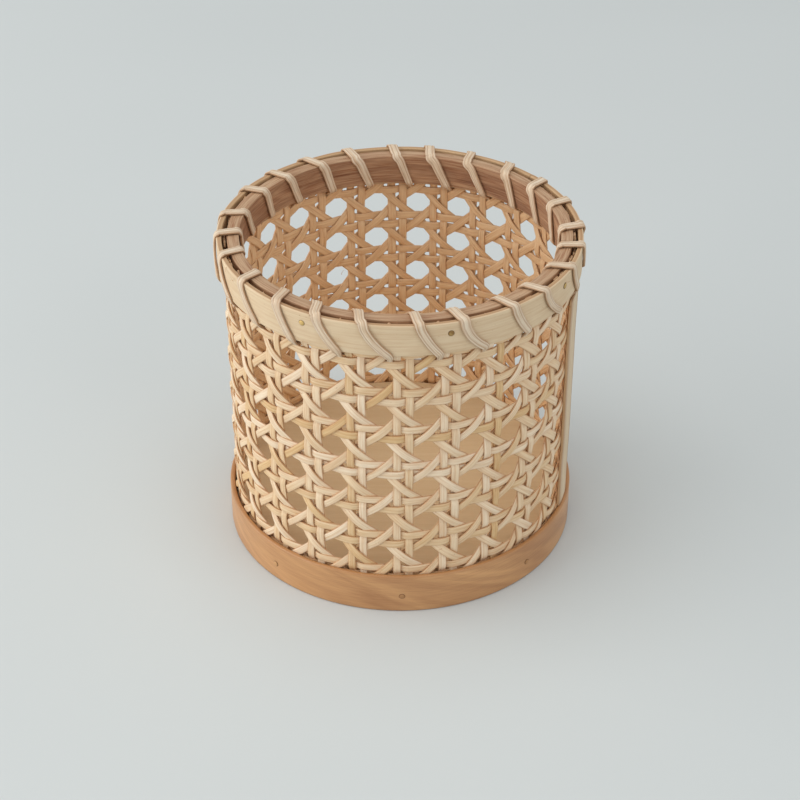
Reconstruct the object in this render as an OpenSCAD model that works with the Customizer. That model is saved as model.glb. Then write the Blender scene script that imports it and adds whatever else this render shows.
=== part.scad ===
// Round open basket: a wall of woven cane webbing between a banded wooden base
// and a rim of two bent hoops that a split-cane lashing binds together.
// Origin: middle of the underside. +Z is up, the front is at -Y.

/* [Body] */
// Height from the table to the top of the rim hoops
body_h = 99; // [91:1:107]
// Outer radius of the outer rim hoop
rim_r = 53; // [50:0.5:56]

/* [Base] */
// Height of the bent band around the base
band_h = 13; // [11:0.1:14]
// Thickness of the base band
band_t = 1.5; // [1.2:0.1:2.2]
// Height of the base disc, whose top is the floor inside
floor_h = 13; // [10:0.5:14]
// Height of the disc's wide lower step, which the webbing stands on
step_h = 7; // [6:0.5:8]
// Number of nails through the base band
base_nail_count = 8; // [6:1:12]

/* [Rim] */
// Height of both rim hoops
hoop_h = 9.6; // [9:0.1:12]
// Thickness of the outer hoop
outer_hoop_t = 1.3; // [1.1:0.1:1.8]
// Thickness of the inner hoop
inner_hoop_t = 3; // [2:0.1:4]
// Number of nails through the outer hoop
rim_nail_count = 8; // [6:1:12]

/* [Webbing] */
// Number of upright strand pairs around the wall
columns = 24; // [22:1:26]
// Height from one ring pair to the next, before fitting to the body
nominal_pitch = 12.4; // [11.5:0.1:13.5]
// Height of the lowest ring pair's middle
first_ring_z = 12.7; // [12:0.1:13.5]
// Width of an upright or ring strand
strand_w = 2.4; // [1.8:0.1:2.4]
// Width of a diagonal strand that rises to the right
right_diagonal_w = 2.2; // [1.6:0.1:2.4]
// Width of a diagonal strand that rises to the left
left_diagonal_w = 2.5; // [1.8:0.1:2.6]
// Thickness of one strand
strand_t = 0.55; // [0.5:0.05:0.7]
// Distance between the middles of the two uprights of a pair
upright_spacing = 3.4; // [3:0.1:3.8]
// Distance between the middles of the two rings of a pair
ring_spacing = 3.2; // [3.2:0.1:3.6]

/* [Lashing] */
// Width of the lashing strip on the faces of the hoops
lash_w = 2.7; // [2:0.1:3]
// Thickness of the lashing strip
lash_t = 0.7; // [0.5:0.1:0.7]

/* [Seam slat] */
// Width of the slat that covers the webbing's joint
slat_w = 9.5; // [6:0.5:12]
// Thickness of the slat
slat_t = 0.7; // [0.5:0.1:1]

/* [Hidden] */
$fn = 96;
fit_gap = 0.02;

// Radii of the wall, from the outer hoop inwards. The webbing has four layers
// of strands: one diagonal, the uprights, the rings, the other diagonal.
outer_hoop_in_r = rim_r - outer_hoop_t;
web_out_r = outer_hoop_in_r - fit_gap;
web_in_r = web_out_r - 4 * strand_t;
inner_hoop_out_r = web_in_r - fit_gap;
inner_hoop_in_r = inner_hoop_out_r - inner_hoop_t;
band_gap = 0.08;
band_in_r = web_out_r + band_gap;
band_out_r = band_in_r + band_t;

// Heights of the wall
hoop_z = body_h - hoop_h;
web_z0 = step_h + 0.1;
web_z1 = body_h - 1;

// The top ring pair lies just under the hoops: the lashing goes between its rings.
last_ring_z = hoop_z - 2.4;
rings = round((last_ring_z - first_ring_z) / nominal_pitch) + 1;
row_pitch = (last_ring_z - first_ring_z) / (rings - 1);
column_angle = 360 / columns;
first_column_angle = 1;

// A diagonal climbs one row for each column, so a level cut through it is longer.
column_pitch = 2 * PI * (web_in_r + web_out_r) / 2 / columns;
diagonal_stretch = sqrt(1 + pow(column_pitch / row_pitch, 2));
diagonal_steps = 16;

// Each turn of the lashing crosses the rim at lash_angle, leaning by
// lash_top_lean each way, and goes through the webbing further on, at lash_through.
lash_angle = 3.3;
lash_top_lean = 1.3;
lash_through = lash_angle + 8.2;
lash_through_w = 1.4;
slat_angle = 343.5;
slat_top_z = last_ring_z - 1;

// Where the two ends of each bent strip meet
band_joint_angle = 97;
inner_joint_angle = 352;
outer_joint_angle = 40;
joint_gap_angle = 0.25;

// Clearance between the disc's upper step and the webbing
plug_gap = 0.15;

base_nail_z = 5.8;
base_nail_angle = 0.4;
rim_nail_z = body_h - 3.2;
rim_nail_angle = 15;
nail_head_r = 1.1;
nail_head_h = 0.5;

function two_digits(i) = str(i < 10 ? "0" : "", i);
function upright_name(i) = str("upright_pair_", two_digits(i));
function ring_name(i) = str("ring_pair_", i);

// ---- shared shapes ----

function polar(r, a, z) = [r * cos(a), r * sin(a), z];

// Rectangle from [x0, z0], with its four corners rounded
module rounded_section(x0, z0, w, h, round_r) {
    translate([x0 + round_r, z0])
        square([w - 2 * round_r, h]);
    translate([x0, z0 + round_r])
        square([w, h - 2 * round_r]);
    for (x = [round_r, w - round_r], z = [round_r, h - round_r])
        translate([x0 + x, z0 + z])
            circle(r = round_r, $fn = 24);
}

// Wooden strip bent into a hoop, with a fine gap where its two ends meet
module bent_hoop(in_r, t, z0, h, round_r, joint_angle) {
    rotate([0, 0, joint_angle + joint_gap_angle / 2])
        rotate_extrude(angle = 360 - joint_gap_angle)
            rounded_section(in_r, z0, t, h, round_r);
}

// Places its children at evenly spaced angles, with +X pointing outwards
module around(count, first_angle) {
    for (i = [0:count - 1])
        rotate([0, 0, first_angle + i * 360 / count])
            children();
}

// Nail along -X with its domed head on the plane x = 0
module nail(shank_r, shank_l) {
    dome_r = (pow(nail_head_r, 2) + pow(nail_head_h, 2)) / (2 * nail_head_h);
    rotate([0, 90, 0]) {
        translate([0, 0, -shank_l])
            cylinder(r = shank_r, h = shank_l, $fn = 32);
        intersection() {
            translate([0, 0, nail_head_h - dome_r])
                sphere(r = dome_r);
            cylinder(r = nail_head_r, h = nail_head_h, $fn = 48);
        }
    }
}

// Bore for a nail's shank, from depth under face_r to well outside it
module nail_bore(shank_r, depth, face_r) {
    past = 5;
    translate([face_r - depth, 0, 0])
        rotate([0, 90, 0])
            cylinder(r = shank_r, h = depth + past, $fn = 32);
}

// Strip through a list of sections, each of which is four corner points
module strip(sections, closed) {
    n = len(sections);
    joins = closed ? n : n - 1;
    sides = [
        for (j = [0:joins - 1], i = [0:3])
            let (k = (j + 1) % n, m = (i + 1) % 4)
            each i < 2
                ? [[4 * j + i, 4 * k + i, 4 * k + m], [4 * j + i, 4 * k + m, 4 * j + m]]
                : [[4 * j + i, 4 * k + i, 4 * j + m], [4 * k + i, 4 * k + m, 4 * j + m]]
    ];
    caps = closed ? [] : [[0, 1, 2, 3], [for (i = [3:-1:0]) 4 * (n - 1) + i]];
    polyhedron(points = [for (s = sections) each s], faces = concat(sides, caps), convexity = 6);
}

// ---- base ----

base_shank_r = 0.4;
base_nail_l = band_t + 5.9;

module base_nail_bores() {
    around(base_nail_count, base_nail_angle)
        translate([0, 0, base_nail_z])
            nail_bore(base_shank_r, base_nail_l, band_out_r);
}

module base_disc() {
    color([0.68, 0.55, 0.40])
        difference() {
            union() {
                cylinder(r = web_out_r, h = step_h);
                cylinder(r = web_in_r - plug_gap, h = floor_h);
            }
            base_nail_bores();
        }
}

module base_band() {
    color([0.72, 0.52, 0.35])
        difference() {
            bent_hoop(band_in_r, band_t, 0, band_h, 0.5, band_joint_angle);
            base_nail_bores();
        }
}

module base_nails() {
    color([0.35, 0.30, 0.25])
        around(base_nail_count, base_nail_angle)
            translate([band_out_r, 0, base_nail_z])
                nail(base_shank_r, base_nail_l);
}

// ---- rim ----

rim_shank_r = 0.35;
rim_nail_l = rim_r - inner_hoop_in_r - 0.6;

module rim_nail_bores() {
    around(rim_nail_count, rim_nail_angle)
        translate([0, 0, rim_nail_z])
            nail_bore(rim_shank_r, rim_nail_l, rim_r);
}

module inner_hoop() {
    color([0.55, 0.42, 0.30])
        difference() {
            bent_hoop(inner_hoop_in_r, inner_hoop_t, hoop_z, hoop_h, 0.6, inner_joint_angle);
            rim_nail_bores();
        }
}

module outer_hoop() {
    color([0.80, 0.72, 0.60])
        difference() {
            bent_hoop(outer_hoop_in_r, outer_hoop_t, hoop_z, hoop_h, 0.45, outer_joint_angle);
            rim_nail_bores();
        }
}

module rim_nails() {
    color([0.72, 0.58, 0.28])
        around(rim_nail_count, rim_nail_angle)
            translate([rim_r, 0, rim_nail_z])
                nail(rim_shank_r, rim_nail_l);
}

// Curved slat on the outside of the webbing. It stands on the base band.
module seam_slat() {
    slat_in_r = web_out_r + fit_gap;
    slat_turn = slat_w / slat_in_r * 180 / PI;
    color([0.80, 0.70, 0.55])
        rotate([0, 0, slat_angle - slat_turn / 2])
            rotate_extrude(angle = slat_turn)
                translate([slat_in_r, band_h + fit_gap])
                    square([slat_t, slat_top_z - band_h - fit_gap]);
}

// One section of the lashing: [radius, angle, height, tilt, width]. The tilt is
// the strip's outward side: 180 faces the middle, 90 is up, 0 faces out.
function lash_turn(i) =
    let (
        mid = lash_angle + i * column_angle,
        through = lash_through + i * column_angle,
        in_r = inner_hoop_in_r - lash_t / 2 - fit_gap,
        out_r = rim_r + lash_t / 2 + fit_gap,
        top_z = body_h + lash_t / 2 + fit_gap,
        gap_z = last_ring_z
    )
    [
        [in_r, through - column_angle + 0.3, hoop_z - 0.4, 180, lash_w],
        [in_r, mid - lash_top_lean - 0.6, body_h - 0.4, 180, lash_w],
        [in_r + 0.25, mid - lash_top_lean - 0.3, top_z - 0.15, 135, lash_w],
        [in_r + 0.9, mid - lash_top_lean, top_z, 90, lash_w],
        [out_r - 0.9, mid + lash_top_lean, top_z, 90, lash_w],
        [out_r - 0.25, mid + lash_top_lean + 0.3, top_z - 0.15, 45, lash_w],
        [out_r, mid + lash_top_lean + 0.6, body_h - 0.4, 0, lash_w],
        [out_r, through - 0.3, hoop_z - 0.4, 0, lash_w],
        [out_r - 0.3, through, gap_z + 0.15, -45, lash_through_w],
        [out_r - 1, through, gap_z, -90, lash_through_w],
        [in_r + 1, through, gap_z, -90, lash_through_w],
        [in_r + 0.3, through, gap_z + 0.15, -135, lash_through_w]
    ];

function unit(v) = v / norm(v);

function lash_section(path, j) =
    let (
        n = len(path),
        s = path[j],
        before = path[(j + n - 1) % n],
        after = path[(j + 1) % n],
        here = polar(s[0], s[1], s[2]),
        along = unit(polar(after[0], after[1], after[2]) - polar(before[0], before[1], before[2])),
        out = polar(cos(s[3]), s[1], sin(s[3])),
        side = unit(cross(out, along)) * s[4] / 2,
        half = out * lash_t / 2
    )
    [here - side - half, here + side - half, here + side + half, here - side + half];

module rim_lashing() {
    path = [for (i = [0:columns - 1]) each lash_turn(i)];
    color([0.74, 0.66, 0.56])
        strip([for (j = [0:len(path) - 1]) lash_section(path, j)], true);
}

// ---- webbing ----

module upright_pair(i) {
    clear = 0.02;
    color([0.84, 0.72, 0.55])
        rotate([0, 0, first_column_angle + (i - 1) * column_angle])
            for (side = [-1, 1])
                translate([web_in_r + strand_t + clear, (side * upright_spacing - strand_w) / 2, web_z0])
                    cube([strand_t - 2 * clear, strand_w, web_z1 - web_z0]);
}

module ring_pair(i) {
    middle_z = first_ring_z + (i - 1) * row_pitch;
    color([0.86, 0.74, 0.57])
        rotate_extrude()
            for (side = [-1, 1])
                translate([web_in_r + 2 * strand_t, middle_z + (side * ring_spacing - strand_w) / 2])
                    square([strand_t, strand_w]);
}

// Level cut through a diagonal strand at height z. It meets a ring pair's
// middle half way between two uprights.
function diagonal_section(in_r, w, start_angle, turn, z) =
    let (
        out_r = in_r + strand_t,
        middle = start_angle + turn * (z - first_ring_z) / row_pitch * column_angle,
        half = w * diagonal_stretch / 2 / in_r * 180 / PI
    )
    [
        polar(in_r, middle + half, z),
        polar(in_r, middle - half, z),
        polar(out_r, middle - half, z),
        polar(out_r, middle + half, z)
    ];

// One strand for each column. turn is 1 where it rises to the right, seen from
// outside, and -1 where it rises to the left.
module diagonals(in_r, w, turn) {
    color([0.88, 0.77, 0.60])
        for (i = [0:columns - 1])
            strip([
                for (k = [0:diagonal_steps])
                    let (z = web_z0 + (web_z1 - web_z0) * k / diagonal_steps)
                    diagonal_section(in_r, w, first_column_angle + (i + 0.5) * column_angle, turn, z)
            ], false);
}

base_disc();
base_band();
base_nails();
inner_hoop();
outer_hoop();
rim_nails();
rim_lashing();
seam_slat();
diagonals(web_in_r, right_diagonal_w, 1);  // diagonals_rising_right
diagonals(web_out_r - strand_t, left_diagonal_w, -1);  // diagonals_rising_left
for (i = [1:rings])
    ring_pair(i);
for (i = [1:columns])
    upright_pair(i);
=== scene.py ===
import math
import random

import bpy
import numpy as np
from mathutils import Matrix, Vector


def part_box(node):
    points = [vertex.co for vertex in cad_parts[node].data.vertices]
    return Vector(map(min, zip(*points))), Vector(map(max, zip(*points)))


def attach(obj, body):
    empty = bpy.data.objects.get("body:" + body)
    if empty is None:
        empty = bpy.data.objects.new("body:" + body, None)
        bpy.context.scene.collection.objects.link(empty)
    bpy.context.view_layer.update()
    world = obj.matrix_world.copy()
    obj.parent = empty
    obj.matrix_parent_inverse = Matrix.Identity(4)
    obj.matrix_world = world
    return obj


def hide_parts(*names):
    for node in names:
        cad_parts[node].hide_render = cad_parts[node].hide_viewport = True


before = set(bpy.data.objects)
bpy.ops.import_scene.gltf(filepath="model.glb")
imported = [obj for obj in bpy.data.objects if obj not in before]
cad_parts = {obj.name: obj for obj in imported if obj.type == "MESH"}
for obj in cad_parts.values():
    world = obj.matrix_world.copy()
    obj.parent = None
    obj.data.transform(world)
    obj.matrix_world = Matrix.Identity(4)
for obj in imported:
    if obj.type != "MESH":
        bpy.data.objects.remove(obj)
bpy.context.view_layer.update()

MM = 0.001
random.seed(11)


# ---- places and sizes, read from the frame ----

def node_corners(node):
    return np.array([v.co[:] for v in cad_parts[node].data.vertices])


def from_axis(corners):
    """Distance of each corner from the basket's axis."""
    return np.hypot(corners[:, 0], corners[:, 1])


def radii(node):
    """Smallest and largest distance of a CAD node's corners from the basket's axis."""
    away = from_axis(node_corners(node))
    return float(away.min()), float(away.max())


def heights(node):
    low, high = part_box(node)
    return low.z, high.z


def middle_angle(node):
    low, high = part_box(node)
    return math.atan2(low.y + high.y, low.x + high.x)


def numbered(prefix):
    """Names of the nodes that start with prefix, in the order of the numbers that they end with."""
    names = [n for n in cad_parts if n.startswith(prefix)]
    return sorted(names, key=lambda n: int(n.split("_")[-1]))


UPRIGHT_NODES = numbered("upright_pair_")
RING_NODES = numbered("ring_pair_")
COLUMNS = len(UPRIGHT_NODES)
COLUMN = 2 * math.pi / COLUMNS
FIRST_COLUMN = middle_angle(UPRIGHT_NODES[0])
RING_Z = [sum(heights(n)) / 2 for n in RING_NODES]
ROW = (RING_Z[-1] - RING_Z[0]) / (len(RING_Z) - 1)

INNER_IN_R, INNER_OUT_R = radii("inner_hoop")
OUTER_IN_R, OUTER_OUT_R = radii("outer_hoop")
HOOP_LOW, HOOP_TOP = heights("outer_hoop")
WEB_R = (INNER_OUT_R + OUTER_IN_R) / 2
WEB_LOW, WEB_TOP = heights(UPRIGHT_NODES[0])
BAND_TOP = heights("base_band")[1]
SLAT_ANGLE = middle_angle("seam_slat")

# Half the distance between the two strands of a pair, and the strands' widths and thickness
UPRIGHT_HALF = 1.7 * MM
RING_HALF = 1.6 * MM
STRAND_W = 2.45 * MM
RIGHT_DIAGONAL_W = 2.25 * MM
LEFT_DIAGONAL_W = 2.6 * MM
STRAND_T = 0.6 * MM

# How far a strand swings in and out of the wall
GRID_SWING = 0.44 * MM
DIAGONAL_SWING = 0.8 * MM

# Where a turn of the lashing crosses the rim, how far it leans there, and where it goes through
# the webbing
LASH_MIDDLE = math.radians(3.3)
LASH_TOP_LEAN = math.radians(1.3)
LASH_THROUGH = math.radians(11.5)
LASH_T = 0.8 * MM
LASH_W = 2.9 * MM

# The nails in each set, how far their CAD heads stand out of the wood, and the section of a visible
# head from its middle to its edge and into the wood: shares of its radius and of its height
NAILS = 8
CAD_HEAD_H = 0.5 * MM
HEAD_RINGS = np.array([0.02, 0.3, 0.55, 0.72, 0.82, 0.92, 1.0, 1.0])
HEAD_RISE = np.array([1.0, 0.95, 0.82, 0.66, 0.5, 0.3, 0.1, -0.9])
HEAD_POINTS = 28


# ---- mesh helpers ----

def polar(r, angle, z):
    return np.stack([r * np.cos(angle), r * np.sin(angle), z + 0 * r], axis=-1)


def away_from_axis(angle):
    """Level directions that point away from the basket's axis."""
    return polar(np.ones(len(angle)), angle, 0)


def new_mesh(name, verts, quads, caps=(), values=None):
    """Smooth mesh object from arrays. values holds a number for each vertex, by attribute name."""
    mesh = bpy.data.meshes.new(name)
    faces = [tuple(q) for q in quads.tolist()] + [tuple(c) for c in caps]
    mesh.from_pydata(verts.tolist(), [], faces)
    for key, numbers in (values or {}).items():
        layer = mesh.attributes.new(key, "FLOAT", "POINT")
        layer.data.foreach_set("value", np.asarray(numbers, dtype=np.float32))
    mesh.polygons.foreach_set("use_smooth", [True] * len(mesh.polygons))
    mesh.update()
    obj = bpy.data.objects.new(name, mesh)
    bpy.context.scene.collection.objects.link(obj)
    return obj


def flat_profile(points=12, square=0.42, crown=0.7):
    """Cross-section of a split strand, from -1 to 1 across and in thickness, with soft edges."""
    a = 2 * np.pi * (np.arange(points) + 0.5) / points
    across = np.sign(np.cos(a)) * np.abs(np.cos(a)) ** square
    thick = np.sign(np.sin(a)) * np.abs(np.sin(a)) ** crown
    return across, thick


def box_profile(width, thickness, corner, side_points, end_points):
    """Cross-section of a flat strip with round corners, from -1 to 1 each way.

    There are side_points on each flat side, and end_points round each corner.
    """
    flat = np.linspace(-1, 1, side_points) * (width / 2 - corner)
    turn = np.linspace(0, np.pi / 2, end_points + 1)[1:]
    half = thickness / 2
    quarter = [
        (width / 2 - corner + corner * np.sin(t), half - corner + corner * np.cos(t)) for t in turn
    ]
    top = [(x, half) for x in flat]
    right = quarter + [(x, -y) for x, y in quarter[::-1]]
    points = top + right + [(-x, -y) for x, y in top] + [(-x, -y) for x, y in right]
    points = np.array(points)[::-1]
    return points[:, 0] / (width / 2), points[:, 1] / half


def ridged_profile(points=40, ridges=4, depth=0.42):
    """Cross-section of the lashing, with ridges along its outer side."""
    across, thick = flat_profile(points, square=0.55, crown=0.6)
    groove = 0.5 + 0.5 * np.cos(2 * np.pi * ridges * (across + 1) / 2)
    return across, np.where(thick > 0, thick - depth * groove * (1 - across**4), thick)


def strip_arrays(centres, outward, width, thickness, profile, closed):
    """Corner points and quads of a strip along centres, with its flat side facing outward."""
    across, thick = profile
    if closed:
        along = np.roll(centres, -1, axis=0) - np.roll(centres, 1, axis=0)
    else:
        along = np.gradient(centres, axis=0)
    along /= np.linalg.norm(along, axis=1)[:, None]
    side = np.cross(outward, along)
    side /= np.linalg.norm(side, axis=1)[:, None]
    up = np.cross(along, side)
    width = np.broadcast_to(width, len(centres))
    thickness = np.broadcast_to(thickness, len(centres))
    verts = (
        centres[:, None]
        + side[:, None] * (width[:, None] / 2 * across)[..., None]
        + up[:, None] * (thickness[:, None] / 2 * thick)[..., None]
    )
    rings, points = len(centres), len(across)
    j = np.arange(rings if closed else rings - 1)[:, None]
    i = np.arange(points)[None]
    k, m = (j + 1) % rings, (i + 1) % points
    corners = (j * points + i, j * points + m, k * points + m, k * points + i)
    return verts.reshape(-1, 3), np.stack(np.broadcast_arrays(*corners), -1).reshape(-1, 4)


def strip_values(centres, width, thickness, profile, tone):
    """Attributes that the cane and wood materials read.

    along, across and deep are a corner's place in millimetres: along the strip, and across and in
    thickness from its middle line. bark is 1 on the outer side. tone sets strands apart: it is the
    share of gold in their colour, and moves their pattern of fibres.
    """
    across, thick = profile
    pattern_shift = 400
    step = np.linalg.norm(np.diff(centres, axis=0), axis=1)
    along = np.concatenate([[0], np.cumsum(step)]) / MM
    width = np.broadcast_to(width, len(centres))
    return {
        "along": np.repeat(along, len(across)) + pattern_shift * tone,
        "across": (width[:, None] / 2 * across / MM).ravel(),
        "deep": np.tile(thick * thickness / 2 / MM, len(centres)),
        "bark": np.tile((thick > 0).astype(float), len(centres)),
        "tone": np.full(len(centres) * len(across), tone),
    }


class Strips:
    """Collects strips and makes one object of them."""

    def __init__(self):
        self.verts, self.quads, self.caps, self.values, self.count = [], [], [], [], 0

    def add(self, centres, outward, width, thickness, profile, tone, closed=False):
        verts, quads = strip_arrays(centres, outward, width, thickness, profile, closed)
        points = len(profile[0])
        if not closed:
            last = self.count + len(verts) - points
            self.caps.append(list(range(self.count + points - 1, self.count - 1, -1)))
            self.caps.append(list(range(last, last + points)))
        self.verts.append(verts)
        self.quads.append(quads + self.count)
        self.values.append(strip_values(centres, width, thickness, profile, tone))
        self.count += len(verts)

    def make(self, name, material):
        values = {k: np.concatenate([v[k] for v in self.values]) for k in self.values[0]}
        verts, quads = np.concatenate(self.verts), np.concatenate(self.quads)
        obj = new_mesh(name, verts, quads, self.caps, values)
        obj.data.materials.append(material)
        return obj


def hand_over(piece, node):
    """The piece stands for a CAD node."""
    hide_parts(node)
    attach(piece, "root")


# ---- materials ----

class Shader:
    """A Principled material with short calls for the nodes that feed it."""

    def __init__(self, name, **constants):
        self.material = bpy.data.materials.new(name)
        self.material.use_nodes = True
        self.tree = self.material.node_tree
        self.principled = self.tree.nodes["Principled BSDF"]
        for key, value in constants.items():
            self.principled.inputs[key.replace("_", " ")].default_value = value

    def node(self, kind, **settings):
        made = self.tree.nodes.new("ShaderNode" + kind)
        for key, value in settings.items():
            setattr(made, key, value)
        return made

    def put(self, socket, value):
        if isinstance(value, bpy.types.NodeSocket):
            self.tree.links.new(value, socket)
        else:
            socket.default_value = value

    def attribute(self, name):
        return self.node("Attribute", attribute_name=name).outputs["Fac"]

    def position(self):
        return self.node("TexCoord").outputs["Object"]

    def position_in_mm(self):
        made = self.node("VectorMath", operation="MULTIPLY")
        self.put(made.inputs[0], self.position())
        made.inputs[1].default_value = (1 / MM, 1 / MM, 1 / MM)
        return made.outputs[0]

    def combine(self, x, y, z):
        made = self.node("CombineXYZ")
        for socket, value in zip(made.inputs, (x, y, z)):
            self.put(socket, value)
        return made.outputs[0]

    def separate(self, vector):
        made = self.node("SeparateXYZ")
        self.put(made.inputs[0], vector)
        return made.outputs

    def maths(self, operation, a, b=0.0):
        made = self.node("Math", operation=operation)
        self.put(made.inputs[0], a)
        self.put(made.inputs[1], b)
        return made.outputs[0]

    def plus(self, a, b):
        return self.maths("ADD", a, b)

    def times(self, a, b):
        return self.maths("MULTIPLY", a, b)

    def size_of(self, value):
        return self.maths("ABSOLUTE", value)

    def noise(self, vector, scale, detail=3.0, roughness=0.55, distortion=0.0):
        made = self.node("TexNoise")
        self.put(made.inputs["Vector"], vector)
        made.inputs["Scale"].default_value = scale
        made.inputs["Detail"].default_value = detail
        made.inputs["Roughness"].default_value = roughness
        made.inputs["Distortion"].default_value = distortion
        return made.outputs["Fac"]

    def spread(self, value, low, high, to_low=0.0, to_high=1.0):
        """value from low to high, as a number from to_low to to_high."""
        made = self.node("MapRange")
        self.put(made.inputs["Value"], value)
        names = ("From Min", "From Max", "To Min", "To Max")
        for key, number in zip(names, (low, high, to_low, to_high)):
            made.inputs[key].default_value = number
        return made.outputs[0]

    def mix(self, factor, a, b, blend="MIX"):
        made = self.node("Mix", data_type="RGBA", blend_type=blend)
        self.put(made.inputs[0], factor)
        self.put(made.inputs[6], a)
        self.put(made.inputs[7], b)
        return made.outputs[2]

    def stain(self, factor, colour, tint):
        """colour, multiplied by tint where factor is 1."""
        return self.mix(factor, colour, self.mix(1.0, colour, tint, "MULTIPLY"))

    def relief(self, height, strength, depth):
        """Bumps of up to depth millimetres."""
        made = self.node("Bump")
        made.inputs["Strength"].default_value = strength
        made.inputs["Distance"].default_value = depth * MM
        self.put(made.inputs["Height"], height)
        self.put(self.principled.inputs["Normal"], made.outputs[0])

    def finish(self, colour, roughness):
        self.put(self.principled.inputs["Base Color"], colour)
        self.put(self.principled.inputs["Roughness"], roughness)
        return self.material


def rgb(red, green, blue):
    """sRGB from 0 to 255, as linear light."""
    def linear(c):
        c /= 255
        return c / 12.92 if c <= 0.04045 else ((c + 0.055) / 1.055) ** 2.4
    return (linear(red), linear(green), linear(blue), 1.0)


# Tints that darken cane and wood
FIBRE_TINT = rgb(214, 180, 140)
# Painted shade: contact shadow at the cane's edges and in the lashing's grooves
CANE_EDGE_SHADE_TINT = rgb(190, 146, 104)
SPECK_TINT = rgb(176, 126, 86)
GRAIN_TINT = rgb(190, 142, 104)
PORE_TINT = rgb(150, 104, 72)


def cane_material(name, pale, gold, pith, thickness, fibres, depth, lines, roughness):
    """Split cane: smooth bark outside, duller pith inside, with fine fibres along the strand.

    The bark goes from pale to gold, and painted shade darkens the colour where the surface lies
    below the strip's crown: contact shadow at its edges and in any grooves. fibres is the number in
    a millimetre, depth their relief in millimetres, and lines how far they darken the colour.
    """
    s = Shader(name, Specular_IOR_Level=0.5)
    across, along, deep = s.attribute("across"), s.attribute("along"), s.attribute("deep")
    tone, bark = s.attribute("tone"), s.attribute("bark")
    strand = s.combine(across, s.times(along, 0.04), s.plus(s.times(tone, 60.0), deep))
    patchy = s.combine(across, s.times(along, 0.4), tone)
    fibre = s.noise(strand, fibres * 0.22, detail=4.0, roughness=0.62)
    fine = s.noise(strand, fibres, detail=2.0, roughness=0.5)
    patches = s.noise(patchy, 0.3, detail=3.0, roughness=0.6)

    golden = s.plus(s.times(patches, 0.55), s.times(tone, 1.1))
    colour = s.mix(bark, pith, s.mix(s.spread(golden, 0.35, 1.25), pale, gold))
    colour = s.stain(s.spread(fibre, 0.4, 0.72, 0.0, lines), colour, FIBRE_TINT)
    # Painted shade: darker towards the strip's edges and in grooves, standing in for contact
    # shadow, weaker on the pith side
    crown = thickness / 2 / MM
    edge = s.spread(s.size_of(deep), 0.4 * crown, 0.88 * crown, 0.75, 0.0)
    edge = s.times(edge, s.spread(bark, 0.0, 1.0, 0.35, 1.0))
    colour = s.stain(edge, colour, CANE_EDGE_SHADE_TINT)
    specks = s.spread(s.noise(patchy, 2.2, detail=2.0), 0.7, 0.78, 0.0, 0.5)
    colour = s.stain(specks, colour, SPECK_TINT)

    s.relief(s.plus(fibre, s.times(fine, 0.35)), 0.7, depth)
    return s.finish(colour, s.plus(roughness, s.times(fibre, 0.25)))


def wood_material(
    name, light, dark, figure, flame, half_width, edge_colour, depth, lines, roughness
):
    """Bent wood, with fine grain along the strip and broad figure from light to dark.

    figure is the scale of the broad figure across the strip, in 1/mm, and flame how far it slants.
    The strip's rounded edges, half_width millimetres from its middle line, have their own colour.
    depth is the grain's relief in millimetres, and lines how far it darkens the colour.
    """
    s = Shader(name, Specular_IOR_Level=0.65)
    across, along, deep = s.attribute("across"), s.attribute("along"), s.attribute("deep")
    slanted = s.combine(s.plus(across, s.times(along, flame)), s.times(along, 0.14), deep)
    broad = s.noise(slanted, figure, detail=3.0, roughness=0.55, distortion=1.4)
    strand = s.combine(across, s.times(along, 0.03), deep)
    grain = s.noise(strand, 2.6, detail=5.0, roughness=0.65, distortion=0.3)
    fine = s.noise(strand, 11.0, detail=2.0, roughness=0.5)

    colour = s.mix(s.spread(broad, 0.3, 0.7), light, dark)
    rounding = s.spread(s.size_of(across), half_width - 0.7, half_width - 0.2, 0.0, 0.8)
    colour = s.mix(rounding, colour, edge_colour)
    colour = s.stain(s.spread(grain, 0.42, 0.7, 0.0, lines), colour, GRAIN_TINT)
    pore_place = s.combine(s.times(across, 5.0), s.times(along, 0.5), deep)
    pores = s.spread(s.noise(pore_place, 2.2), 0.68, 0.74, 0.0, lines)
    colour = s.stain(pores, colour, PORE_TINT)

    s.relief(s.plus(grain, s.times(fine, 0.4)), 0.5, depth)
    return s.finish(colour, s.plus(roughness, s.times(fine, 0.2)))


def floor_wood_material():
    """The base disc: sanded wood with faint straight grain along X."""
    s = Shader("floor_wood", Specular_IOR_Level=0.25)
    x, y, z = s.separate(s.position_in_mm())
    sway_place = s.combine(s.times(x, 0.2), y, z)
    sway = s.noise(sway_place, 0.06, detail=2.0, roughness=0.5, distortion=0.4)
    bent = s.plus(y, s.times(sway, 14.0))
    rings = s.noise(s.combine(s.times(x, 0.03), bent, z), 0.5, detail=3.0, roughness=0.6)
    fine_place = s.combine(s.times(x, 0.12), s.times(y, 2.6), z)
    fine = s.noise(fine_place, 1.6, detail=4.0, roughness=0.6)
    grain = s.plus(s.times(rings, 0.6), s.times(fine, 0.4))
    colour = s.mix(s.spread(grain, 0.3, 0.7), rgb(222, 196, 156), rgb(212, 184, 142))
    s.relief(grain, 0.5, 0.05)
    return s.finish(colour, s.plus(0.5, s.times(fine, 0.2)))


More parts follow.
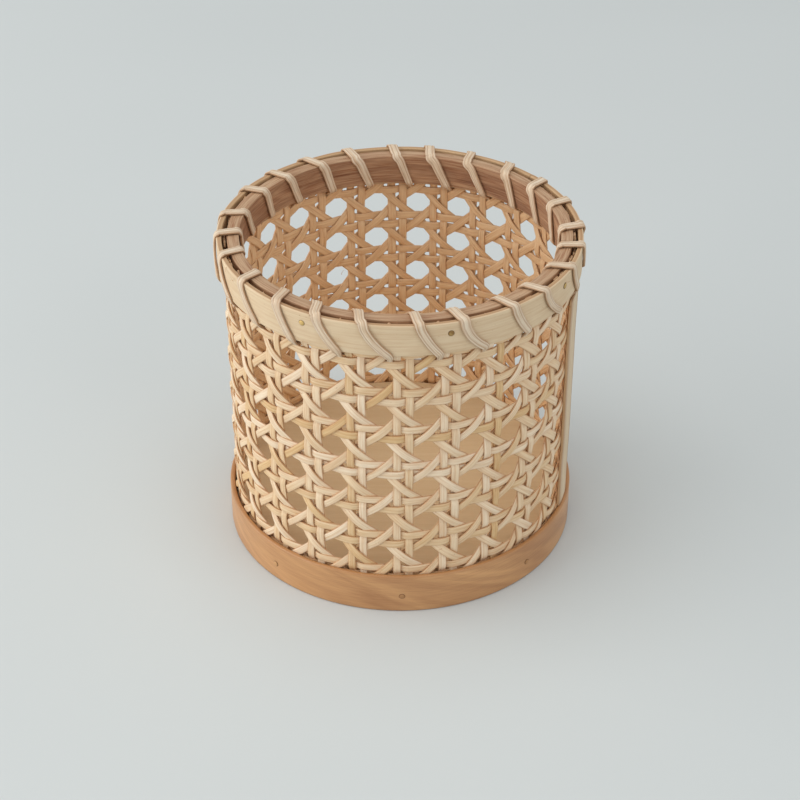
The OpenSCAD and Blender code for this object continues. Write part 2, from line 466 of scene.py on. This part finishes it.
def nail_material(name, bright, dull, rim_shade_colour, roughness):
    """Small worn nail heads: metal with tarnish in patches, and painted shade round the edge of the
    head.
    """
    s = Shader(name, Metallic=0.5, Specular_IOR_Level=0.5)
    tarnish = s.noise(s.position_in_mm(), 0.9, detail=4.0, roughness=0.65)
    worn = s.plus(s.times(tarnish, 0.6), s.times(s.attribute("tone"), 0.6))
    colour = s.mix(s.spread(worn, 0.4, 0.8), bright, dull)
    # Painted shade: the dark gap round the edge of each head
    colour = s.mix(s.spread(s.attribute("rim"), 0.8, 0.95), colour, rim_shade_colour)
    s.relief(tarnish, 0.4, 0.08)
    return s.finish(colour, s.plus(roughness, s.times(tarnish, 0.35)))


def paper_material():
    """The studio's floor: matt pale grey, hardly mottled."""
    s = Shader("studio_paper", Specular_IOR_Level=0.15)
    soft = s.noise(s.position(), 3.0, detail=2.0)
    return s.finish(s.mix(s.spread(soft, 0.3, 0.7), rgb(208, 213, 212), rgb(212, 217, 216)), 0.9)


CANE = cane_material(
    "cane", pale=rgb(249, 227, 197), gold=rgb(230, 194, 142), pith=rgb(248, 214, 170),
    thickness=STRAND_T, fibres=9.0, depth=0.09, lines=0.65, roughness=0.4,
)
LASHING = cane_material(
    "lashing_cane", pale=rgb(242, 227, 205), gold=rgb(220, 199, 170), pith=rgb(196, 168, 134),
    thickness=LASH_T, fibres=12.0, depth=0.16, lines=0.75, roughness=0.6,
)
PALE_HOOP = cane_material(
    "pale_hoop_cane", pale=rgb(235, 214, 181), gold=rgb(212, 182, 142), pith=rgb(206, 172, 130),
    thickness=1.3 * MM, fibres=7.0, depth=0.07, lines=0.35, roughness=0.55,
)
SLAT = cane_material(
    "slat_cane", pale=rgb(232, 214, 184), gold=rgb(212, 186, 150), pith=rgb(206, 172, 130),
    thickness=0.7 * MM, fibres=8.0, depth=0.07, lines=0.35, roughness=0.5,
)
BROWN_WOOD = wood_material(
    "brown_wood", light=rgb(202, 162, 124), dark=rgb(146, 103, 73), figure=0.22, flame=0.0,
    half_width=4.8, edge_colour=rgb(200, 167, 131), depth=0.12, lines=0.95, roughness=0.5,
)
BAND_WOOD = wood_material(
    "band_wood", light=rgb(222, 170, 115), dark=rgb(178, 126, 80), figure=0.1, flame=0.3,
    half_width=6.5, edge_colour=rgb(184, 131, 80), depth=0.05, lines=0.3, roughness=0.28,
)
FLOOR_WOOD = floor_wood_material()
BRASS = nail_material(
    "worn_brass", bright=rgb(226, 192, 122), dull=rgb(150, 116, 68), rim_shade_colour=rgb(88, 66, 38),
    roughness=0.35,
)
DULL_NAIL = nail_material(
    "dull_nail", bright=rgb(214, 170, 120), dull=rgb(186, 140, 96), rim_shade_colour=rgb(116, 80, 48),
    roughness=0.5,
)


# ---- woven wall ----

def ease(part):
    """Smooth step from 0 to 1."""
    return part * part * (3 - 2 * part)


def swing(place, first, second, period, amount):
    """Smooth swing: +amount at first, -amount at second, and so on every period."""
    place = (place - first) % period
    gap = (second - first) % period
    falling = np.cos(np.pi * np.minimum(place, gap) / gap)
    rising = -np.cos(np.pi * np.maximum(place - gap, 0) / (period - gap))
    return amount * np.where(place < gap, falling, rising)


def pressed(z):
    """Share of its swing that a strand keeps at height z: the hoops press it flat."""
    run_in, flattened = 1.6 * MM, 0.72
    return 1.0 - flattened * ease(np.clip((z - HOOP_LOW) / run_in + 1.0, 0, 1))


def drift(count, size, smooth):
    """Slow random drift along a strand: a random knot about every smooth points, and an easy curve
    from knot to knot.
    """
    knots = np.array([random.gauss(0, size) for _ in range(max(4, count // smooth + 3))])
    at = np.linspace(0, len(knots) - 1.001, count)
    base = at.astype(int)
    part = ease(at - base)
    return knots[base] * (1 - part) + knots[base + 1] * part


def strand_tone():
    """A strand's own colour, from 0 for pale to 1 for gold."""
    return min(1.0, max(0.0, random.gauss(0.38, 0.22)))


def uneven(width):
    """A strand's own width, a little more or less than the usual one."""
    return width * random.uniform(0.92, 1.08)


def cut_end(z, least, most):
    """Index in z where a strand ends, between least and most millimetres below the hoops' top."""
    return np.searchsorted(z, HOOP_TOP - random.uniform(least, most) * MM)


def weave_uprights():
    """Each pair: the left strand goes over a ring pair's upper strand and under its lower one."""
    profile = flat_profile()
    z = np.arange(WEB_LOW, WEB_TOP, 0.45 * MM)
    upper, lower = RING_Z[0] + RING_HALF, RING_Z[0] - RING_HALF
    for node in UPRIGHT_NODES:
        pair = Strips()
        for side in (-1, 1):
            first, second = (upper, lower) if side < 0 else (lower, upper)
            r = WEB_R + pressed(z) * swing(z, first, second, ROW, GRID_SWING)
            angle = middle_angle(node) + side * UPRIGHT_HALF / WEB_R
            angle = angle + drift(len(z), size=0.05 * MM, smooth=30) / WEB_R
            centres = polar(r, angle, z)[:cut_end(z, 0.15, 1.3)]
            outward = away_from_axis(angle)[:len(centres)]
            pair.add(centres, outward, uneven(STRAND_W), STRAND_T, profile, strand_tone())
        hand_over(pair.make("woven_" + node, CANE), node)


def weave_rings():
    """Each pair: the upper strand goes under an upright pair's left strand and over its right one.

    A strand's two ends lie one over the other under the slat, where its radius changes quickly.
    """
    profile = flat_profile()
    points_per_column = 30
    overlap = 0.07
    ends_apart = 0.9 * MM
    steepness = 7
    count = COLUMNS * points_per_column
    angle = SLAT_ANGLE + np.linspace(-overlap, 2 * math.pi + overlap, count)
    at_ends = 2**steepness / 2 * np.linspace(-0.5, 0.5, count) ** steepness
    half = UPRIGHT_HALF / WEB_R
    for node, middle in zip(RING_NODES, RING_Z):
        pair = Strips()
        for side in (-1, 1):
            first, second = (half, -half) if side > 0 else (-half, half)
            r = WEB_R + swing(angle - FIRST_COLUMN, first, second, COLUMN, GRID_SWING)
            z = middle + side * RING_HALF + drift(count, size=0.06 * MM, smooth=40)
            centres = polar(r + ends_apart * at_ends, angle, z)
            outward = away_from_axis(angle)
            pair.add(centres, outward, uneven(STRAND_W), STRAND_T, profile, strand_tone())
        hand_over(pair.make("woven_" + node, CANE), node)


def weave_diagonals(node, turn, width, sign):
    """One strand for each column, which rises to the right (turn 1) or to the left (-1).

    It swings out (sign 1) or in (-1) where it passes an upright pair.
    """
    profile = flat_profile()
    z = np.arange(WEB_LOW, WEB_TOP, 0.32 * MM)
    row = (z - RING_Z[0]) / ROW
    r = WEB_R - sign * DIAGONAL_SWING * pressed(z) * np.cos(2 * np.pi * row)
    for i in range(COLUMNS):
        strand = Strips()
        angle = FIRST_COLUMN + (i + 0.5) * COLUMN + turn * row * COLUMN
        angle = angle + drift(len(z), size=0.07 * MM, smooth=40) / WEB_R
        centres = polar(r, angle, z)[:cut_end(z, 1.1, 2.4)]
        outward = away_from_axis(angle)[:len(centres)]
        strand.add(centres, outward, uneven(width), STRAND_T, profile, strand_tone())
        hand_over(strand.make(f"woven_{node}_{i + 1:02d}", CANE), node)


# ---- hoops, lashing, slat and nails ----

def hoop(name, node, material, joint, wobble, corner, squeeze=(0.0, 0.0)):
    """Bent strip with rounded edges and a slight wobble in width and curve, open at its joint.

    squeeze moves its inner and outer faces outwards by so much, so that it presses on the webbing.
    """
    in_r, out_r = np.add(radii(node), squeeze)
    low, high = heights(node)
    profile = box_profile(high - low, out_r - in_r, corner, side_points=12, end_points=4)
    count = 540
    half_gap = 0.0022
    angle = joint + np.linspace(half_gap, 2 * math.pi - half_gap, count)
    r = (in_r + out_r) / 2 + drift(count, wobble, smooth=45)
    width = (high - low) + drift(count, wobble, smooth=14)
    centres = polar(r, angle, low + width / 2)
    strips = Strips()
    strips.add(centres, away_from_axis(angle), width, out_r - in_r, profile, tone=0.4)
    hand_over(strips.make(name, material), node)


def lashing_turn(middle, lean, through, slack, bend):
    """One turn: up the inner hoop, over the rim, down the outer hoop and back through the webbing.

    Each row is radius, angle, height, tilt and share of the full width. Tilt is the way that the
    strip's outer side faces: 180 to the middle, 90 up, 0 outwards. slack lifts the strip off the
    hoops, and bend above 1 keeps it upright for longer before it turns to the side.
    """
    in_r, out_r = INNER_IN_R - LASH_T / 2, OUTER_OUT_R + LASH_T / 2
    top, hole = HOOP_TOP + LASH_T / 2, RING_Z[-1]
    under = HOOP_LOW - 1.1 * MM
    before = through - COLUMN
    inner, outer = middle - lean, middle + lean
    face = HOOP_TOP - HOOP_LOW
    rows = [
        (INNER_OUT_R - 0.2 * MM, before, hole + 0.15 * MM, 250, 0.5),
        (INNER_OUT_R - 1.4 * MM, before, under, 215, 0.6),
    ]
    for f in (0.02, 0.25, 0.55, 0.82):
        lift = 0.5 * slack * math.sin(math.pi * f)
        angle = before + 0.9 * (inner - before) * f
        rows.append((in_r - lift, angle, HOOP_LOW + f * face, 180, 0.8 + 0.2 * f))
    crest = top + 0.1 * MM + 0.2 * slack
    over_the_rim = [
        (in_r + 0.08 * MM, 0.0, top - 0.65 * MM, 150),
        (in_r + 0.65 * MM, 0.1, top, 118),
        (in_r + 1.7 * MM, 0.32, crest, 96),
        (out_r - 1.7 * MM, 0.68, crest, 84),
        (out_r - 0.65 * MM, 0.9, top, 62),
        (out_r - 0.08 * MM, 1.0, top - 0.65 * MM, 30),
    ]
    rows += [(r, inner + 2 * lean * part, z, tilt, 1.0) for r, part, z, tilt in over_the_rim]
    for f in (0.2, 0.5, 0.78, 0.98):
        lift = 0.5 * slack * math.sin(math.pi * f)
        angle = outer + (through - outer) * f**bend
        rows.append((out_r + lift, angle, HOOP_TOP - f * face, 0, 1.0 - 0.2 * f))
    return rows + [
        (OUTER_IN_R + 0.8 * MM, through, under, -30, 0.6),
        (OUTER_IN_R - 0.2 * MM, through, hole + 0.1 * MM, -80, 0.5),
        (WEB_R, through, hole, -90, 0.45),
    ]


def smooth_through(rows, steps):
    """Catmull-Rom curve through a closed list of rows."""
    rows = np.array(rows)
    p0, p1, p2, p3 = np.roll(rows, 1, 0), rows, np.roll(rows, -1, 0), np.roll(rows, -2, 0)
    out = []
    for k in range(steps):
        t = k / steps
        linear = 2 * p1 + (p2 - p0) * t
        square = (2 * p0 - 5 * p1 + 4 * p2 - p3) * t**2
        cube = (3 * p1 - p0 - 3 * p2 + p3) * t**3
        out.append(0.5 * (linear + square + cube))
    return np.stack(out, 1).reshape(-1, rows.shape[1])


def make_lashing():
    """One long strip of split cane, wound round both hoops with a turn for each column."""
    rows = []
    for i in range(COLUMNS):
        middle = LASH_MIDDLE + i * COLUMN + math.radians(random.gauss(0, 1.0))
        lean = LASH_TOP_LEAN * random.uniform(0.5, 1.7)
        through = LASH_THROUGH + i * COLUMN + math.radians(random.gauss(0, 0.3))
        slack, bend = random.uniform(0.0, 0.5) * MM, random.uniform(1.0, 2.0)
        for r, angle, z, tilt, share in lashing_turn(middle, lean, through, slack, bend):
            tilt = math.radians(tilt)
            level = math.cos(tilt)
            place = [r * math.cos(angle), r * math.sin(angle), z]
            out = [level * math.cos(angle), level * math.sin(angle), math.sin(tilt)]
            rows.append(place + out + [share])
    fine = smooth_through(rows, steps=5)
    centres, outward, share = fine[:, :3], fine[:, 3:6], fine[:, 6]
    outward = outward / np.linalg.norm(outward, axis=1)[:, None]
    width = LASH_W * share * (1 + drift(len(fine), size=0.05, smooth=40))
    strips = Strips()
    strips.add(centres, outward, width, LASH_T, ridged_profile(), tone=0.45, closed=True)
    hand_over(strips.make("wound_lashing", LASHING), "rim_lashing")


def make_slat():
    """Upright slat over the webbing's joint, bent to the wall's curve."""
    (low, high), (in_r, out_r) = heights("seam_slat"), radii("seam_slat")
    box_low, box_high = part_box("seam_slat")
    thickness, middle_r = out_r - in_r, (in_r + out_r) / 2
    width = math.hypot(box_high.y - box_low.y, box_high.x - box_low.x - thickness)
    corner = 0.45 * thickness
    across, thick = box_profile(width, thickness, corner, side_points=24, end_points=3)
    bow = (across * width / 2) ** 2 / (2 * middle_r) / (thickness / 2)
    count = 90
    angle = SLAT_ANGLE + drift(count, size=0.15 * MM, smooth=25) / WEB_R
    r = middle_r + drift(count, size=0.06 * MM, smooth=20)
    width = width * (1 + drift(count, size=0.012, smooth=12))
    centres = polar(r, angle, np.linspace(low, high, count))
    strips = Strips()
    strips.add(centres, away_from_axis(angle), width, thickness, (across, thick - bow), tone=0.4)
    hand_over(strips.make("pale_seam_slat", SLAT), "seam_slat")


def nail_places(node):
    """Angle of the first nail, radius of the wood's face, and the heads' height and radius."""
    corners = node_corners(node)
    away = from_axis(corners)
    heads = corners[away > away.max() - 0.9 * CAD_HEAD_H]
    first = float(np.median(np.arctan2(heads[:, 1], heads[:, 0]) % (2 * math.pi / NAILS)))
    low, high = heads[:, 2].min(), heads[:, 2].max()
    return first, away.max() - CAD_HEAD_H, (high + low) / 2, (high - low) / 2


def squashed_circle(squash, turn):
    """Points round a circle that is flattened to squash in the direction of turn, as two arrays."""
    a = 2 * np.pi * np.arange(HEAD_POINTS) / HEAD_POINTS
    wide, tall = np.cos(a - turn) * squash, np.sin(a - turn)
    sine, cosine = math.sin(turn), math.cos(turn)
    return wide * cosine - tall * sine, wide * sine + tall * cosine


def head_faces():
    """Quads and two end caps of one nail head, counted from its first corner."""
    rings, points = len(HEAD_RINGS), HEAD_POINTS
    k, m = np.meshgrid(np.arange(rings - 1), np.arange(points), indexing="ij")
    near, far, n = k * points, (k + 1) * points, (m + 1) % points
    quads = np.stack([near + m, far + m, far + n, near + n], -1).reshape(-1, 4)
    ends = np.arange(points), (rings * points - 1) - np.arange(points)
    return quads, np.stack(ends)


def nail_heads(name, node, material, proud):
    """Domed heads where the CAD model's nails are, each with a rim attribute, 1 at its edge."""
    first, face_r, middle_z, head_r = nail_places(node)
    head_quads, head_ends = head_faces()
    up = np.array([0, 0, 1.0])
    verts, quads, caps, tone = [], [], [], []
    for i in range(NAILS):
        angle = first + i * 2 * math.pi / NAILS
        out = np.array([math.cos(angle), math.sin(angle), 0])
        side = np.array([-math.sin(angle), math.cos(angle), 0])
        u, v = squashed_circle(random.uniform(0.9, 1.0), random.uniform(0, math.pi))
        flat = u[:, None] * side + v[:, None] * up
        place = out * face_r + up * middle_z
        rings = zip(HEAD_RINGS, HEAD_RISE * proud)
        verts += [place + flat * head_r * share + out * rise for share, rise in rings]
        start = i * len(HEAD_RINGS) * HEAD_POINTS
        quads.append(head_quads + start)
        caps += (head_ends + start).tolist()
        tone.append(np.full(len(HEAD_RINGS) * HEAD_POINTS, random.random()))
    rim = np.tile(np.repeat(HEAD_RINGS, HEAD_POINTS), NAILS)
    values = {"rim": rim, "tone": np.concatenate(tone)}
    obj = new_mesh(name, np.concatenate(verts), np.concatenate(quads), caps, values)
    obj.data.materials.append(material)
    hand_over(obj, node)


def make_stray_fibres():
    """A few hair-thin splinters that stand off the strands and hoops."""
    fibre_count, points = 34, 7
    root_w, thickness = 0.16 * MM, 0.12 * MM
    strips = Strips()
    profile = flat_profile(6, square=1.0, crown=1.0)
    t = np.linspace(0, 1, points)
    for _ in range(fibre_count):
        angle = random.uniform(0, 2 * math.pi)
        if random.random() < 0.5:
            z, r = random.uniform(HOOP_LOW, HOOP_TOP), OUTER_OUT_R
        else:
            z, r = random.uniform(BAND_TOP + 4 * MM, HOOP_LOW - 3 * MM), OUTER_IN_R - 0.4 * MM
        reach = random.uniform(0.8, 2.2) * MM
        sweep, climb = random.uniform(-0.05, 0.05), random.uniform(-1.5, 2.5) * MM
        centres = polar(r - 0.3 * MM + reach * t, angle + sweep * t**2, z + climb * t**1.6)
        outward = polar(0.2 * np.ones(points), angle + 1.2, np.ones(points))
        strips.add(centres, outward, root_w * (1 - 0.7 * t), thickness, profile, tone=0.3)
    piece = strips.make("stray_fibres", CANE)
    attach(piece, "root")


def dress_cad_nodes():
    """The base disc keeps its CAD mesh, with its own material."""
    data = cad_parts["base_disc"].data
    data.materials.clear()
    data.materials.append(FLOOR_WOOD)


# ---- studio ----

def make_floor():
    """Large pale sheet under the basket."""
    half_size = 3.0
    count = 40
    grid = np.linspace(-half_size, half_size, count)
    x, y = np.meshgrid(grid, grid, indexing="ij")
    verts = np.stack([x.ravel(), y.ravel(), np.zeros(count * count)], -1)
    i, j = np.meshgrid(np.arange(count - 1), np.arange(count - 1), indexing="ij")
    corner = (i * count + j).ravel()
    quads = np.stack([corner, corner + count, corner + count + 1, corner + 1], -1)
    floor = new_mesh("studio_floor", verts, quads)
    floor.data.materials.append(paper_material())


def area_light(name, place, size, power, colour):
    """Rectangular lamp that points at the middle of the basket."""
    target = Vector((0, 0, 0.05))
    data = bpy.data.lights.new(name, "AREA")
    data.shape = "RECTANGLE"
    data.size, data.size_y = size
    data.energy = power
    data.color = colour
    light = bpy.data.objects.new(name, data)
    bpy.context.scene.collection.objects.link(light)
    light.location = place
    light.rotation_euler = (target - Vector(place)).to_track_quat("-Z", "Y").to_euler()


def make_lights():
    area_light("left_softbox", place=(-1.3, -0.2, 0.42), size=(1.8, 0.8), power=12.0,
               colour=(1.0, 0.985, 0.965))
    area_light("top_softbox", place=(-0.2, -0.1, 1.5), size=(1.3, 1.3), power=8.0,
               colour=(1.0, 1.0, 1.0))
    area_light("right_fill", place=(1.5, -1.25, 0.9), size=(1.8, 1.4), power=7.2,
               colour=(1.0, 0.99, 0.98))
    world = bpy.data.worlds.new("studio_world")
    world.use_nodes = True
    background = world.node_tree.nodes["Background"]
    background.inputs["Color"].default_value = (0.96, 0.98, 1.0, 1.0)
    background.inputs["Strength"].default_value = 0.5
    bpy.context.scene.world = world
    bpy.context.scene.view_settings.view_transform = "Standard"


def make_camera():
    """Looks down at the basket from the front, with a long lens."""
    distance = 0.5744
    elevation = math.radians(34.34)
    target = Vector((0.0, 0.0, 0.0392))
    back = Vector((0.0, -math.cos(elevation), math.sin(elevation)))
    data = bpy.data.cameras.new("camera")
    data.lens = 84.2
    data.clip_start = 0.01
    camera = bpy.data.objects.new("camera", data)
    bpy.context.scene.collection.objects.link(camera)
    camera.location = target + back * distance
    camera.rotation_euler = (-back).to_track_quat("-Z", "Y").to_euler()
    bpy.context.scene.camera = camera


make_camera()
weave_uprights()
weave_rings()
weave_diagonals("diagonals_rising_right", turn=1, width=RIGHT_DIAGONAL_W, sign=-1)
weave_diagonals("diagonals_rising_left", turn=-1, width=LEFT_DIAGONAL_W, sign=1)
hoop("bent_inner_hoop", "inner_hoop", BROWN_WOOD, joint=math.radians(352),
     wobble=0.06 * MM, corner=0.3 * MM, squeeze=(0.0, 0.5 * MM))
hoop("bent_outer_hoop", "outer_hoop", PALE_HOOP, joint=math.radians(40),
     wobble=0.06 * MM, corner=0.35 * MM, squeeze=(-0.25 * MM, 0.0))
hoop("bent_base_band", "base_band", BAND_WOOD, joint=math.radians(97),
     wobble=0.04 * MM, corner=0.6 * MM)
make_lashing()
make_slat()
nail_heads("brass_rim_nails", "rim_nails", BRASS, proud=0.3 * MM)
nail_heads("dull_base_nails", "base_nails", DULL_NAIL, proud=0.25 * MM)
make_stray_fibres()
dress_cad_nodes()
make_floor()
make_lights()
